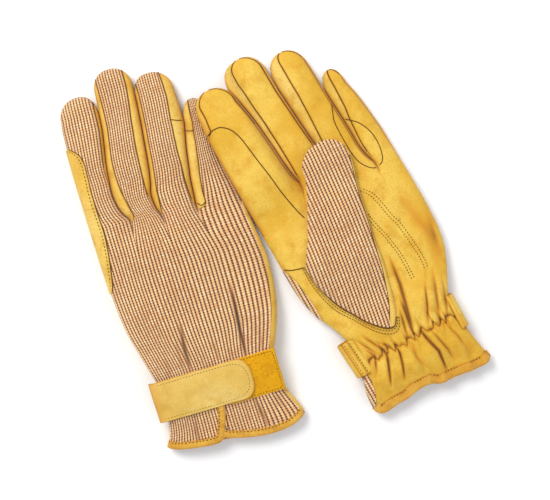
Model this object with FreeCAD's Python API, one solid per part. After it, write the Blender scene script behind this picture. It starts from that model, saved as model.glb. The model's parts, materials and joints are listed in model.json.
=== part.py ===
"""A pair of work gloves with knit backs and leather palms.

Both gloves lie flat beside each other, fingers towards +Y, and share one frame with +Z up. The
right-hand glove lies with its back up and its thumb folded under the palm. The left-hand glove lies
with its palm up and its thumb folded over the palm. Every panel is a thin wall that follows the
outside of a tube: the hand, the cuff and each finger are tubes whose sections stand across the
glove's own length. All sizes are in millimetres, in the glove's own frame until place() lays it down.
"""
import FreeCAD, Part
import math
import os

# ---- driving dimensions ----------------------------------------------------------------------
WALL = 1.0            # thickness of every knit and leather wall
OVERLAY = 0.8         # thickness of a second layer of leather sewn on top of a wall
LAYER_GAP = 0.3       # air between two layers that lie on each other
GAP = 0.5             # air left on each side of a finger
HINGE_Y = 157.0       # the fingers bend here, at the middle knuckle
KNUCKLE_Y = 126.0     # the fingers leave the hand here
HAND_Y = 14.0         # the cuff ends and the hand begins
THUMB_HINGE_Y = 62.0  # the thumb lifts from here
FINGER_HEIGHT = {"index": 12.0, "middle": 12.0, "ring": 12.0, "little": 10.0}
THUMB_HEIGHT = 7.4
PALM_RISE = 8.0       # the right palm stands this far off the table, over the folded thumb
SQUARENESS = 0.7      # 1 is an ellipse, smaller is boxier
TIP_LENGTH = 13.0     # how far before its end a finger starts to round off
TIP_ANGLES = (25, 45, 62, 75, 84)
STRAP_THICKNESS = 1.6
PATCH_THICKNESS = 1.0
BINDING = 4.0         # width of the leather edging
FOLD = 0.4            # the edging stands this far outside the wall that it wraps
TABLE_Z = -0.25       # the edging is pressed flat where it rests on the table
LEAN = 6.75           # each glove leans this many degrees towards the other
ORIGIN = {"right": (-70.6, -69.6), "left": (64.8, -97.7)}

# Each station of a hand is (y, left edge, right edge, lowest, highest).
HAND = {
    "right": [
        (-37, -47, 49.5, 0.0, 13.5), (-24, -44, 46, 1.0, 15.0), (-12, -41, 41.5, 2.6, 16.6),
        (0, -40.5, 41, 5.2, 18.6), (14, -41, 42, 8.0, 21.0), (26, -44.5, 46.5, 8.0, 22.0),
        (42, -48.5, 52, 8.0, 22.5), (65, -52.5, 54.7, 8.0, 22.5), (84, -53.2, 54.2, 8.0, 22.5),
        (104, -53.7, 51.6, 8.0, 22.0), (126, -54.2, 48.8, 8.0, 20.5),
    ],
    "left": [
        (-30, -49, 38, 0.0, 12.5), (-16, -47.5, 36, 1.6, 15.0), (-5, -42.5, 34.5, 4.8, 17.6),
        (8, -40, 33.8, 4.8, 18.0), (14, -40.5, 34, 4.8, 18.2), (24, -41.5, 37, 4.8, 18.6),
        (36, -45.5, 43, 2.0, 17.0), (50, -50.5, 49, 0.0, 15.0), (68, -54.5, 52.2, 0.0, 14.5),
        (90, -55.3, 53, 0.0, 14.5), (108, -55.5, 52.8, 0.0, 14.2), (126, -55.5, 52.4, 0.0, 13.0),
    ],
}

# Each finger is a list of (y, left edge, right edge), then its end (y, middle) and its lift.
FINGERS = {
    "right": {
        "index": ([(126, -54.2, -30.0), (157, -54.2, -32.0), (180, -54.3, -29.2), (203, -53.6, -27.5)],
                  (215.5, -39.0), (8.0, 8.0, 0.2)),
        "middle": ([(126, -29.0, -6.5), (157, -32.0, -3.4), (185, -28.6, -0.8), (215, -25.5, 0.6)],
                   (228.0, -13.0), (8.0, 8.0, 0.2)),
        "ring": ([(126, -5.5, 19.0), (157, -3.4, 23.6), (182, -0.8, 27.8), (205, 0.6, 27.5)],
                 (218.0, 13.0), (6.0, 6.0, 0.2)),
        "little": ([(126, 20.0, 48.6), (157, 23.6, 42.8), (170, 26.0, 43.4), (181, 28.0, 43.0)],
                   (193.0, 36.5), (0.8, 0.5, 0.2)),
    },
    "left": {
        "index": ([(126, -55.5, -21.5), (157, -55.5, -17.5), (180, -55.4, -19.4), (207, -53.5, -25.0)],
                  (221.0, -40.0), (3.0, 8.0, 9.4)),
        "middle": ([(126, -20.5, 7.0), (157, -16.4, 6.8), (190, -19.6, 4.4), (216, -24.5, 4.0)],
                   (230.0, -11.0), (0.0, 0.0, 0.0)),
        "ring": ([(126, 8.0, 31.5), (157, 6.8, 31.6), (185, 4.4, 31.3), (206, 4.8, 30.6)],
                 (219.0, 17.0), (0.0, 0.0, 0.0)),
        "little": ([(126, 32.5, 52.2), (157, 31.6, 50.4), (170, 31.4, 48.9), (181, 31.6, 47.2)],
                   (193.0, 40.5), (0.0, 0.0, 0.0)),
    },
}

# The thumb lies flat on or under the palm: (y, left edge, right edge), then its end.
THUMB_BASE = [(22, -14.5, -9.0), (31, -22.0, -4.0), (42, -30.5, 0.5), (52, -36.0, 4.5), (62, -39.5, 6.5)]
THUMB_TIP = [(62, -39.5, 6.5), (76, -41.3, 9.3), (88, -38.0, 12.0), (101, -29.5, 14.5),
             (117, -20.0, 18.5), (132, -12.8, 22.3), (140, -8.5, 24.0)]
THUMB_END = (152.0, 9.0)
THUMB_PIVOT = (-12.0, 30.0)
RIGHT_THUMB_TURN = 13.0    # the right thumb starts turned this far towards the index side
# The thumb's lowest height along its length, as (y, height).
THUMB_LOW = {
    "right": [(22, 0.0), (152, 0.0)],
    "left": [(22, 20.6), (36, 18.6), (52, 16.8), (62, 16.3), (152, 16.3)],
}

STRAP_Y = {"right": (-12.5, 14.5), "left": (-3.5, 23.5)}
VENT = {"right": (-5.0, -2.0), "left": (-2.0, 1.0)}


def flat(x, y):
    """No rise: the tube's middle stays level from side to side."""
    return 0.0


def ulnar_drop(x, y):
    """The right hand sags from the folded thumb to the table on its little-finger side."""
    across = min(max((x - 4.0) / 42.0, 0.0), 1.0)
    along = min(max((y - HAND_Y) / 51.0, 0.0), 1.0)
    return -(PALM_RISE - 0.6) * along * across * across * (3.0 - 2.0 * across)


def signed_power(value):
    return math.copysign(abs(value) ** SQUARENESS, value)


def sample_angles(start, stop, step=10):
    """Both ends and every multiple of the step between them, so that neighbours share points."""
    first = math.floor(start / step) + 1
    last = math.ceil(stop / step) - 1
    return [start] + [step * index for index in range(first, last + 1)] + [stop]


def curve(station, start, stop, outset, rise):
    """One line across the glove, outset millimetres outside the tube, from angle to angle."""
    y, left, right, low, high = station
    middle, level = (left + right) / 2, (low + high) / 2
    half_width = max((right - left) / 2 + outset, 0.25)
    half_height = max((high - low) / 2 + outset, 0.25)
    points = []
    for degrees in sample_angles(start, stop):
        angle = math.radians(degrees)
        x = middle + half_width * signed_power(math.cos(angle))
        z = level + half_height * signed_power(math.sin(angle)) + rise(x, y)
        points.append(FreeCAD.Vector(x, y, z))
    line = Part.BSplineCurve()
    line.interpolate(points)
    return line.toShape(), points[0], points[-1]


def wall(stations, start, stop, inner=-WALL, outer=0.0, rise=flat):
    """A thin wall along a tube, between two angles: 0 is the right edge and 90 is the top."""
    sections = []
    for station in stations:
        outside, outside_first, outside_last = curve(station, start, stop, outer, rise)
        inside, inside_first, inside_last = curve(station, start, stop, inner, rise)
        first = Part.makeLine(inside_first, outside_first)
        last = Part.makeLine(outside_last, inside_last)
        sections.append(Part.Wire([outside, last, inside, first]))
    return Part.makeLoft(sections, True, True)


def stretch(stations, y_from, y_to):
    """The part of a tube between two y values, with a station worked out at each end."""
    def at(y):
        for before, after in zip(stations, stations[1:]):
            if before[0] <= y <= after[0]:
                share = (y - before[0]) / (after[0] - before[0])
                return tuple(a + (b - a) * share for a, b in zip(before, after))
        raise ValueError(y)
    inside = [station for station in stations if y_from < station[0] < y_to]
    return [at(y_from)] + inside + [at(y_to)]


def finger_stations(side, name):
    """A whole finger from the knuckle to its rounded end."""
    edges, (end_y, end_x), lifts = FINGERS[side][name]
    start_lift, hinge_lift, end_lift = lifts
    stations = []
    for y, left, right in edges:
        if y <= HINGE_Y:
            share = (y - KNUCKLE_Y) / (HINGE_Y - KNUCKLE_Y)
            low = start_lift + (hinge_lift - start_lift) * share
        else:
            share = (y - HINGE_Y) / (end_y - HINGE_Y)
            low = hinge_lift + (end_lift - hinge_lift) * share
        stations.append((y, left + GAP, right - GAP, low, low + FINGER_HEIGHT[name]))
    return stations + rounded_end(stations[-1], end_y, end_x, end_lift)


def rounded_end(last, end_y, end_x, end_low):
    """The stations that close a tube from its last full one to its end."""
    y, left, right, low, high = last
    middle, half_width, height = (left + right) / 2, (right - left) / 2, high - low
    stations = []
    for degrees in TIP_ANGLES:
        reach = math.sin(math.radians(degrees))
        shrink = math.cos(math.radians(degrees))
        x = middle + (end_x - middle) * reach
        z_low = low + (end_low - low) * reach + height / 2 * (1 - shrink ** 0.6) * 0.8
        z_high = low + (end_low - low) * reach + height - height / 2 * (1 - shrink ** 0.6)
        stations.append((y + (end_y - y) * reach, x - half_width * shrink, x + half_width * shrink,
                         z_low, z_high))
    return stations


def between(table, y):
    """The value at y in a table of (y, value)."""
    for (y0, v0), (y1, v1) in zip(table, table[1:]):
        if y0 <= y <= y1:
            return v0 + (v1 - v0) * (y - y0) / (y1 - y0)
    raise ValueError(y)


def thumb_stations(side, edges, with_end):
    stations = []
    for y, left, right in edges:
        low = between(THUMB_LOW[side], y)
        stations.append((y, left, right, low, low + THUMB_HEIGHT))
    if with_end:
        stations += rounded_end(stations[-1], THUMB_END[0], THUMB_END[1], stations[-1][3])
    return stations


def place(side, shape):
    """Lay a finished piece of one glove in the pair's frame."""
    shape = shape.copy()
    turn = -LEAN if side == "right" else LEAN
    shape.rotate(FreeCAD.Vector(0, 0, 0), FreeCAD.Vector(0, 0, 1), turn)
    shape.translate(FreeCAD.Vector(*ORIGIN[side], 0))
    return shape


def angles(side, start, stop):
    """Angles are given for a back that faces up; the left glove lies the other way round."""
    return (start, stop) if side == "right" else (-stop, -start)


def glove_wall(side, stations, start, stop, **options):
    return wall(stations, *angles(side, start, stop), **options)


def hand_pieces(side):
    """The knit back, the leather palm and what is sewn to them, up to the middle knuckles."""
    rise = ulnar_drop if side == "right" else flat
    hand = stretch(HAND[side], HAND_Y, KNUCKLE_Y)
    back = [glove_wall(side, hand, 10, 178, rise=rise)]
    palm = [glove_wall(side, hand, 180, 368, rise=rise)]
    strips = []
    for name in FINGERS[side]:
        finger = stretch(finger_stations(side, name), KNUCKLE_Y + 0.3, HINGE_Y - 0.2)
        back.append(glove_wall(side, finger, 35, 145))
        palm.append(glove_wall(side, finger, 215, 325))
        strips.append(glove_wall(side, finger, 146, 214))
        strips.append(glove_wall(side, finger, -34, 34))
    panel = stretch(HAND[side], 85, KNUCKLE_Y)
    patch = stretch(HAND[side], 44, 108)
    return {
        "back_panel": back,
        "palm_panel": palm,
        "fourchettes": strips,
        "index_side_panel": [glove_wall(side, panel, 158, 216, inner=LAYER_GAP,
                                        outer=LAYER_GAP + OVERLAY, rise=rise)],
        "palm_patch": [glove_wall(side, patch, 272, 318, inner=LAYER_GAP,
                                  outer=LAYER_GAP + OVERLAY, rise=rise)],
    }


def cuff_pieces(side):
    """The cuff below the hand, its slit, its edging and the elastic that gathers the wrist."""
    hem_y = HAND[side][0][0]
    cuff = stretch(HAND[side], hem_y + BINDING, HAND_Y - 0.1)
    whole_back = glove_wall(side, cuff, 2, 178)
    slit = Part.makeBox(VENT[side][1] - VENT[side][0], STRAP_Y[side][0] - hem_y, 60,
                        FreeCAD.Vector(VENT[side][0], hem_y, -20))
    palm_half = glove_wall(side, cuff, 182, 358)
    back_half = whole_back.cut(slit)
    hem = stretch(HAND[side], hem_y, hem_y + BINDING - 0.1)
    below = Part.makeBox(200, 40, 10, FreeCAD.Vector(-100, hem_y - 20, TABLE_Z - 10))
    hem_back = glove_wall(side, hem, 2, 178, inner=-WALL - FOLD, outer=FOLD).cut(slit).cut(below)
    hem_palm = glove_wall(side, hem, 180, 360, inner=-WALL - FOLD, outer=FOLD).cut(below)
    elastic = stretch(HAND[side], 1, 9)
    return {
        "cuff_back": back_half.Solids,
        "cuff_palm": [palm_half],
        "hem_binding": hem_back.Solids + hem_palm.Solids,
        "wrist_elastic": [glove_wall(side, elastic, 200, 340, inner=-WALL - LAYER_GAP - 1.0,
                                     outer=-WALL - LAYER_GAP)],
    }


def strap_pieces(side):
    """The closing strap with its hook patch, the loop patch it grips and its sewn-on end."""
    low, high = STRAP_Y[side]
    band = stretch(HAND[side], low, high)
    narrow = stretch(HAND[side], low + 1.5, high - 1.5)
    loop_in = LAYER_GAP
    loop_out = loop_in + PATCH_THICKNESS
    hook_in = loop_out + LAYER_GAP
    hook_out = hook_in + PATCH_THICKNESS
    strap_in = hook_out + LAYER_GAP / 2
    strap_out = strap_in + STRAP_THICKNESS
    return {
        "loop_patch": [glove_wall(side, band, 14, 97, inner=loop_in, outer=loop_out)],
        "hook_patch": [glove_wall(side, narrow, 60, 92, inner=hook_in, outer=hook_out)],
        "strap": [glove_wall(side, band, 58, 176, inner=strap_in, outer=strap_out)],
        "strap_anchor": [glove_wall(side, band, 182, 222, inner=LAYER_GAP,
                                    outer=LAYER_GAP + STRAP_THICKNESS)],
    }


def finger_pieces(side, name):
    """One finger beyond its middle knuckle: the knit back, the leather front and the side strips."""
    finger = finger_stations(side, name)
    moving = stretch(finger, HINGE_Y + 0.2, finger[-1][0])
    return {
        name + "_back": [glove_wall(side, moving, 35, 145)],
        name + "_front": [glove_wall(side, moving, 215, 325)],
        name + "_sides": [glove_wall(side, moving, 146, 214), glove_wall(side, moving, -34, 34)],
    }


def thumb_pieces(side):
    """The thumb lies upside down on the glove, so its knit back faces away from the palm."""
    base = thumb_stations(side, THUMB_BASE, False)
    base[-1] = (THUMB_HINGE_Y - 0.2,) + base[-1][1:]
    tip = thumb_stations(side, THUMB_TIP, True)
    tip[0] = (THUMB_HINGE_Y + 0.2,) + tip[0][1:]
    pieces = {
        "thumb_base": [glove_wall(side, base, 190, 350), glove_wall(side, base, 10, 170)],
        "thumb_back": [glove_wall(side, tip, 192, 325)],
        "thumb_front": [glove_wall(side, tip, 10, 190)],
        "thumb_strip": [glove_wall(side, tip, 327, 368)],
    }
    if side == "right":
        pivot = FreeCAD.Vector(*THUMB_PIVOT, 0)
        for solids in pieces.values():
            for solid in solids:
                solid.rotate(pivot, FreeCAD.Vector(0, 0, 1), RIGHT_THUMB_TURN)
    return pieces


def glove(side):
    pieces = {}
    pieces.update(hand_pieces(side))
    pieces.update(cuff_pieces(side))
    pieces.update(strap_pieces(side))
    for name in FINGERS[side]:
        pieces.update(finger_pieces(side, name))
    pieces.update(thumb_pieces(side))
    return {side + "_" + name: place(side, Part.makeCompound(solids)) for name, solids in pieces.items()}


def centred(nodes):
    """Move the pair so that the middle of its footprint is the origin and it stands on z = 0."""
    box = Part.makeCompound(list(nodes.values())).optimalBoundingBox(False, False)
    shift = FreeCAD.Vector(-(box.XMin + box.XMax) / 2, -(box.YMin + box.YMax) / 2, -box.ZMin)
    print("shift %.3f %.3f %.3f, box %.1f %.1f %.1f" % (*shift, box.XLength, box.YLength, box.ZLength))
    for shape in nodes.values():
        shape.translate(shift)
    return nodes


def main():
    os.makedirs("parts", exist_ok=True)
    nodes = {}
    for side in ("right", "left"):
        nodes.update(glove(side))
    for name, shape in centred(nodes).items():
        shape.exportStep("parts/" + name + ".step")


main()
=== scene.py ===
import json
import math

import bmesh
import bpy
import numpy as np
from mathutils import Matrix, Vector


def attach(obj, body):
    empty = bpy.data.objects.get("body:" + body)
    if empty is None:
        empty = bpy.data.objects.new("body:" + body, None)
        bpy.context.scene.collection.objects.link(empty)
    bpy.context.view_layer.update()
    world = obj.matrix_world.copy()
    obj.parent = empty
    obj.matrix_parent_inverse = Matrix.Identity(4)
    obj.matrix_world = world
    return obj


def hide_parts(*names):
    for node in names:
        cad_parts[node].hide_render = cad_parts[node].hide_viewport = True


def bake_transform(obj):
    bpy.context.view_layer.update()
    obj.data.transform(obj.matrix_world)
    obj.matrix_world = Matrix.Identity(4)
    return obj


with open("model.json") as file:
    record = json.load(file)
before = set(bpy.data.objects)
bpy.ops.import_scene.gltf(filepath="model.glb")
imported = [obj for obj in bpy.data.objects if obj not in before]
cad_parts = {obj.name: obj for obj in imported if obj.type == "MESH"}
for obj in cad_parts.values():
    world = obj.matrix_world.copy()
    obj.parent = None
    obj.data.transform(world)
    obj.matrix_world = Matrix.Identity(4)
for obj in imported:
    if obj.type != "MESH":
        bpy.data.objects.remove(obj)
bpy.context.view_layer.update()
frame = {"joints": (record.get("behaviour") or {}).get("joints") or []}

# Lengths below are in millimetres, in each glove's own frame: x across the hand from the index side to
# the little-finger side, y from the wrist to the fingertips, z up. to_row() lays a glove in the pair.

# ---- where each glove lies, read from the frame's joints ----------------------------------------
LEAN = {"right": math.radians(-6.75), "left": math.radians(6.75)}
ANCHOR = {"right": ("right_thumb_swing", (-12.0, 30.0)), "left": ("left_thumb_lift", (-16.5, 62.0))}
FLOOR = 0.25
HINGE_Y = 157.0
THUMB_HINGE_Y = 62.0
FINGER_GAP = 0.12
SPLIT_Y = 116.0            # the fingers' own pieces begin here, below the gaps between them
FINGER_ROUND = 2.4         # the power of each rounded section: 2 is an ellipse, more is boxier
HAND_ROUND = 7
THUMB_ROUND = 3.2
WALL = 0.9                 # how thick the knit and the leather are drawn
MERGE_M = 0.00002          # points nearer than this, in metres, become one
NO_CROTCH = -999           # the outer sides of the index and little fingers have no neighbour


def glove_origin(side):
    joint_name, (x, y) = ANCHOR[side]
    joint = next(j for j in frame["joints"] if j["name"] == joint_name)
    c, s = math.cos(LEAN[side]), math.sin(LEAN[side])
    return joint["pos_m"][0] * 1000 - (c * x - s * y), joint["pos_m"][1] * 1000 - (s * x + c * y)


ORIGIN = {side: glove_origin(side) for side in LEAN}


def to_row(side, points):
    """Points of one glove, in its own millimetres, as metres in the row frame."""
    points = np.asarray(points, float)
    c, s = math.cos(LEAN[side]), math.sin(LEAN[side])
    x, y, z = points[..., 0], points[..., 1], points[..., 2]
    return np.stack([ORIGIN[side][0] + c * x - s * y, ORIGIN[side][1] + s * x + c * y, z + FLOOR], -1) / 1000


# ---- lines ------------------------------------------------------------------------------------
def join(*coordinates):
    """Separate coordinates, side by side in one array of points."""
    return np.stack(np.broadcast_arrays(*coordinates), -1)


def line(*points):
    """A smooth function through (y, value) points that never overshoots them, level beyond its ends."""
    table = np.array(points, float)
    at, value = table[:, 0], table[:, 1]
    secant = np.diff(value) / np.diff(at)
    before, after = secant[:-1], secant[1:]
    same_way = before * after > 0
    inner = np.where(same_way, 2 * before * after / np.where(same_way, before + after, 1), 0.0)
    slope = np.concatenate([secant[:1], inner, secant[-1:]])

    def f(y):
        y = np.clip(np.asarray(y, float), at[0], at[-1])
        i = np.clip(np.searchsorted(at, y, "right") - 1, 0, len(at) - 2)
        h = at[i + 1] - at[i]
        t = (y - at[i]) / h
        return ((2 * t ** 3 - 3 * t ** 2 + 1) * value[i] + (t ** 3 - 2 * t ** 2 + t) * h * slope[i]
                + (3 * t ** 2 - 2 * t ** 3) * value[i + 1] + (t ** 3 - t ** 2) * h * slope[i + 1])
    return f


def unit(value):
    """The value, held between 0 and 1."""
    return np.clip(value, 0, 1)


def smooth(low, high, value):
    """0 below low, 1 above high, and an even S curve between them."""
    t = unit((np.asarray(value, float) - low) / (high - low))
    return t * t * (3 - 2 * t)


def curve_through(points, step=1.0):
    """Evenly spaced points on a smooth curve through the given ones (two or three coordinates)."""
    p = np.array(points, float)
    p = np.vstack([2 * p[0] - p[1], p, 2 * p[-1] - p[-2]])
    out = []
    for a, b, c, d in zip(p, p[1:], p[2:], p[3:]):
        t = np.linspace(0, 1, 13)[:-1, None]
        out.append(0.5 * (2 * b + (c - a) * t + (2 * a - 5 * b + 4 * c - d) * t ** 2
                          + (3 * b - a - 3 * c + d) * t ** 3))
    out = np.vstack(out + [p[-2:-1]])
    length = np.concatenate([[0], np.cumsum(np.linalg.norm(np.diff(out, axis=0), axis=1))])
    count = max(int(round(length[-1] / step)), 2) + 1
    even = np.linspace(0, length[-1], count)
    return np.stack([np.interp(even, length, out[:, k]) for k in range(out.shape[1])], 1)


def distance_to(x, y, path):
    """Distance from each (x, y) to a polyline, and how far along it the nearest point lies (0 to 1)."""
    path = np.asarray(path, float)
    best = np.full(np.shape(x), 1e9)
    along = np.zeros(np.shape(x))
    run = np.concatenate([[0], np.cumsum(np.linalg.norm(np.diff(path[:, :2], axis=0), axis=1))])
    for k, (a, b) in enumerate(zip(path, path[1:])):
        dx, dy = b[0] - a[0], b[1] - a[1]
        t = unit(((x - a[0]) * dx + (y - a[1]) * dy) / (dx * dx + dy * dy + 1e-12))
        d = np.hypot(x - a[0] - t * dx, y - a[1] - t * dy)
        near = d < best
        best = np.where(near, d, best)
        along = np.where(near, (run[k] + t * (run[k + 1] - run[k])) / run[-1], along)
    return best, along


def crease(x, y, path, width, depth):
    """Distance from a crease, and its depth where it fades at both ends; a negative depth is a ridge."""
    d, along = distance_to(x, y, path)
    return d, depth * np.sin(np.pi * unit(along * 0.94 + 0.03)) ** 0.6


def ripple(x, y, seed, wavelength):
    """Smooth uneven waves of height about 1, the same on every run."""
    rng = np.random.default_rng(seed)
    total = np.zeros(np.shape(x))
    for _ in range(14):
        angle = rng.uniform(0, math.pi)
        k = 2 * math.pi / (wavelength * rng.uniform(0.7, 1.6))
        total = total + np.sin(k * (np.cos(angle) * x + np.sin(angle) * y) + rng.uniform(0, 6.28))
    return total / math.sqrt(14) / 0.9


# ---- the outline of each glove, as lines x(y) that part the fingers -------------------------------
GAPS = {
    "right": [
        line((-44, -47), (-32, -46.5), (-24, -43), (-14, -41), (0, -40.5), (14, -41), (20, -42.5),
             (28, -44.5), (38, -47), (50, -50), (65, -52), (80, -53), (100, -53.5), (120, -54), (150, -54.3),
             (180, -54.6), (195, -54.3), (203, -53.3)),
        line((-44, -22), (14, -20), (42, -24.5), (84, -27), (110, -26.5), (124, -26.5), (130, -30),
             (137, -32.3), (145, -33.2), (155, -32.5), (165, -31.5), (178, -29.3), (190, -27.6),
             (203, -26.8), (214, -26)),
        line((-44, 0), (14, 0), (42, -1), (84, -2), (108, -3.5), (121, -5), (128, -7.3), (136, -8),
             (145, -6), (155, -4.2), (172, -2.4), (185, -1.1), (200, 0), (216, 1)),
        line((-44, 22), (14, 20.5), (42, 25), (84, 25.5), (105, 21.5), (120, 19), (130, 19.7), (140, 20.5),
             (150, 22), (160, 23.5), (170, 25.5), (179, 27.3), (190, 27.6), (205, 27.2)),
        line((-44, 50), (-34, 49.5), (-28, 47.5), (-20, 44), (-13, 41.5), (0, 41), (14, 42), (20, 44.5),
             (33, 49.5), (45, 52.7), (62, 54.7), (75, 55), (85, 54), (98, 52.3), (110, 51), (126, 48.6),
             (142, 45.2), (157, 43.2), (170, 43.6), (180, 43.4)),
    ],
    "left": [
        line((-36, -49), (-20, -48.5), (-10, -47.5), (-1, -44), (12, -41.5), (20, -41.5), (29, -42.5),
             (37, -45), (48, -50), (58, -53), (70, -55), (88, -55.5), (120, -55.5), (150, -55.5),
             (180, -55.4), (195, -55), (205, -53.8)),
        line((-36, -24), (14, -18), (50, -22), (90, -22), (120, -19), (134, -15.3), (145, -17), (155, -18),
             (165, -18.6), (175, -19.5), (183, -20.2), (195, -22), (206, -24.2), (214, -26.4)),
        line((-36, -5), (14, 0), (50, 2), (90, 5), (120, 7), (135, 7.5), (150, 7.3), (160, 6.4),
             (175, 5.4), (190, 4.5), (200, 4), (216, 4)),
        line((-36, 16), (14, 18), (50, 27), (90, 32), (110, 35), (122, 36), (126, 34.8), (132, 33.3),
             (140, 32.4), (150, 32.4), (165, 31.9), (180, 31.3), (188, 31.2), (200, 31), (206, 30.5)),
        line((-36, 38.5), (-20, 36), (-9, 34), (8, 33), (20, 34.5), (27, 38), (38, 44), (50, 49),
             (65, 52), (90, 53), (120, 52.6), (140, 52.3), (150, 51.5), (160, 50.5), (170, 49.2), (180, 47)),
    ],
}
# where the gap between two fingers ends
CROTCH = {"right": (NO_CROTCH, 124.0, 121.0, 119.5, NO_CROTCH),
          "left": (NO_CROTCH, 134.0, 132.0, 122.5, NO_CROTCH)}
FINGERS = ("index", "middle", "ring", "little")
# where each fingertip starts to round off, where it ends, and the middle of its end
TIPS = {
    "right": {"index": (201, 215.8, -39.2), "middle": (214, 228.3, -12.8), "ring": (204, 218.3, 12.5),
              "little": (179, 193.2, 36.5)},
    "left": {"index": (205, 221.0, -39.5), "middle": (214, 230.3, -10.6), "ring": (204, 219.8, 17.2),
             "little": (180, 193.3, 39.8)},
}
# widths of the leather side strips that face up, left and right of each finger
STRIPS = {
    "right": {
        "index": (line((110, 0), (230, 0)),
                  line((116, 0), (150, 0.3), (165, 1.6), (203, 2.0))),
        "middle": (line((116, 0), (122, 0), (125, 3.4), (130, 6.3), (138, 7.2), (145, 6.7), (155, 5.4),
                        (165, 4.6), (180, 4.0), (200, 3.8), (214, 3.2)),
                   line((116, 0), (121, 0), (134, 1), (145, 4), (155, 5.3), (172, 6), (185, 5.9), (200, 5),
                        (214, 4.4))),
        "ring": (line((116, 0), (121, 0), (126, 2.8), (136, 4.6), (145, 3.7), (155, 3.2), (172, 3),
                      (200, 2.7)),
                 line((116, 0), (119.5, 0), (125, 1.5), (140, 3.5), (150, 4.5), (165, 6.5), (180, 8.3),
                      (200, 6.4))),
        "little": (line((116, 0), (118, 0), (119.6, 5.8), (122, 7), (130, 6.4), (142, 6.8), (150, 7),
                        (160, 7), (170, 6), (179, 5.4)),
                   line((116, 0), (140, 0.5), (180, 0.7))),
    },
    "left": {
        "index": (line((116, 0), (190, 0), (196, 4.6), (207, 4.6)),
                  line((116, 0), (134, 0), (140, 1.2), (205, 1.6))),
        "middle": (line((116, 0), (134, 0), (137, 0.9), (150, 2.9), (165, 3.6), (183, 4.3), (195, 5),
                        (214, 7.8)),
                   line((116, 0), (134, 0), (150, 1.4), (214, 2.2))),
        "ring": (line((116, 0), (132, 0), (140, 3), (153, 4.8), (160, 5.9), (175, 7.6), (190, 8.8),
                      (210, 9.4)),
                 line((116, 0), (122, 0), (130, 1.0), (204, 1.2))),
        "little": (line((116, 0), (122, 0), (130, 1.5), (150, 3), (158, 3.8), (165, 5.1), (180, 6.4)),
                   line((116, 0), (140, 1), (180, 1.2))),
    },
}
WALES = (12, 10, 10, 9)      # knit ribs in each finger's width
BEAD = 1.75                  # length of one stitch along a rib
HALF_HEIGHT = {"hand": 7.2, "index": 6.0, "middle": 6.0, "ring": 6.0, "little": 5.0}


def lift(side, x, y):
    """How far the glove's underside stands off the table."""
    if side == "right":
        along = smooth(-30, 14, y) * (1 - smooth(150, 222, y))
        across = 1 - 0.93 * smooth(4, 46, x) * smooth(14, 65, y)
        return 8.0 * along * across + 0.15
    strap = 4.8 * smooth(-26, -6, y) * (1 - smooth(22, 46, y))
    index = (8.6 * smooth(112, 158, y) + 0.8 * smooth(158, 200, y)) * (1 - smooth(-26, -14, x))
    return strap + index + 0.15


def half_height(side, x, y):
    """Half the glove's thickness: thick at the palm, thinner in the fingers and at the wrist."""
    wrist = np.interp(y, [-44, -30, 0, 14, 40], [6.2, 6.6, 6.4, 6.4, 7.2])
    finger = np.where(x > GAPS[side][3](y), HALF_HEIGHT["little"], HALF_HEIGHT["index"])
    return wrist + (finger - wrist) * smooth(95, 130, y)


def dome(across, power, along=0.0):
    """Height of a rounded section: 1 in its middle, 0 at its edge. along is the place in a rounded end."""
    return np.sqrt(unit(1 - np.abs(across) ** power - along ** 2))


def facing_up(face):
    """1 on the face that is up as the glove lies, and -1 on the other."""
    return 1 if face == "top" else -1


def knit_surface(wale, bead):
    """Relief of the rib knit: rounded ribs, and small pits between them at every stitch."""
    across = np.abs((wale % 1.0) - 0.5) * 2
    rib = 1 - across ** 2.6
    stitch = 0.5 + 0.5 * np.cos(2 * np.pi * bead)
    return 0.34 * rib - 0.30 * (across ** 3) * stitch + 0.05 * np.cos(2 * np.pi * bead + math.pi)


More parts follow.
